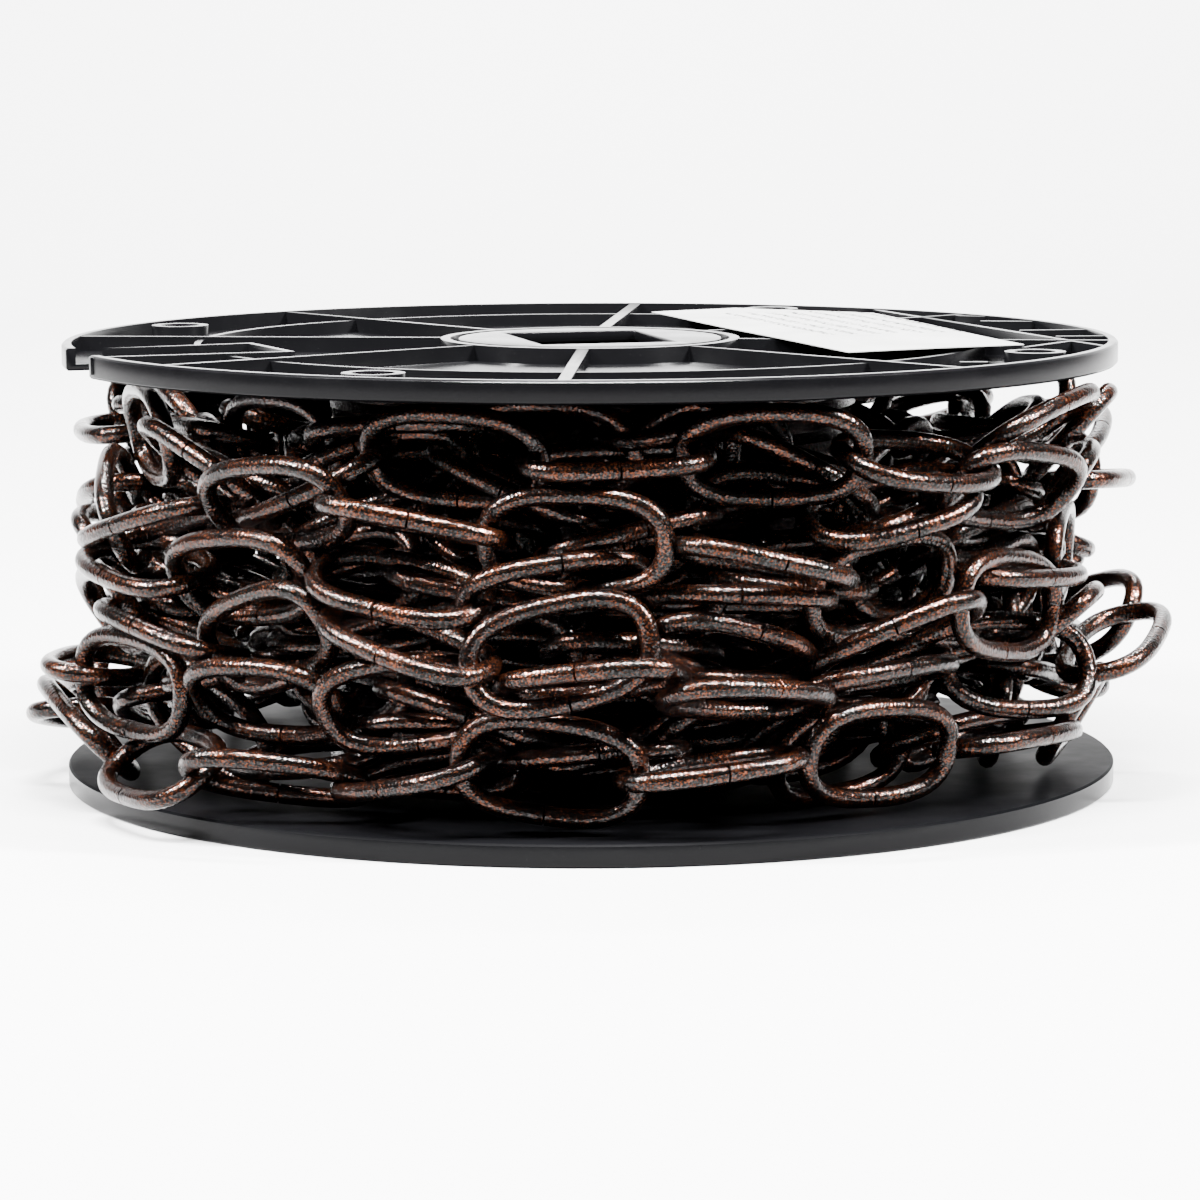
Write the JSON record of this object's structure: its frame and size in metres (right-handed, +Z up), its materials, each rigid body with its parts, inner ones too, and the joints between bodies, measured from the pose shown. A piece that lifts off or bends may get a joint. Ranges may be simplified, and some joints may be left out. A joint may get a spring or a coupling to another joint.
{
  "type": "reel of chain",
  "caption": "Round flanged plastic reel lying flat, wound full with oval-link metal chain, with an oblong arbor hole through its hub.",
  "frame": {"origin": "on the reel's axis, at the level it stands on, under the middle of the winding", "axes": "+Z up along the reel's axis, -Y towards the front, +X to the right of the front"},
  "size_m": [0.2171, 0.2082, 0.0843],
  "materials": {
    "reel_plastic": "smooth moulded black",
    "label": "plain white, a little creased",
    "chain": "dark hammered bronze coating on steel"
  },
  "bodies": {
    "root": {"upper_flange": "reel_plastic", "lower_flange": "reel_plastic", "barrel": "reel_plastic", "label": "label", "chain_inner_layers": "chain", "chain_wrap_1_a": "chain", "chain_wrap_1_b": "chain", "chain_wrap_1_c": "chain", "chain_wrap_1_d": "chain", "chain_wrap_1_e": "chain", "chain_wrap_2_a": "chain", "chain_wrap_2_b": "chain", "chain_wrap_2_c": "chain", "chain_wrap_2_d": "chain", "chain_wrap_3_a": "chain", "chain_wrap_3_b": "chain", "chain_wrap_3_c": "chain", "chain_wrap_3_d": "chain", "chain_wrap_4_a": "chain", "chain_wrap_4_b": "chain", "chain_wrap_4_c": "chain", "chain_wrap_4_d": "chain", "chain_wrap_4_e": "chain", "chain_wrap_5_a": "chain", "chain_wrap_5_b": "chain", "chain_wrap_5_c": "chain", "chain_wrap_5_d": "chain", "chain_wrap_6_a": "chain", "chain_wrap_6_b": "chain", "chain_wrap_6_c": "chain", "chain_wrap_6_d": "chain"}
  },
  "joints": []
}
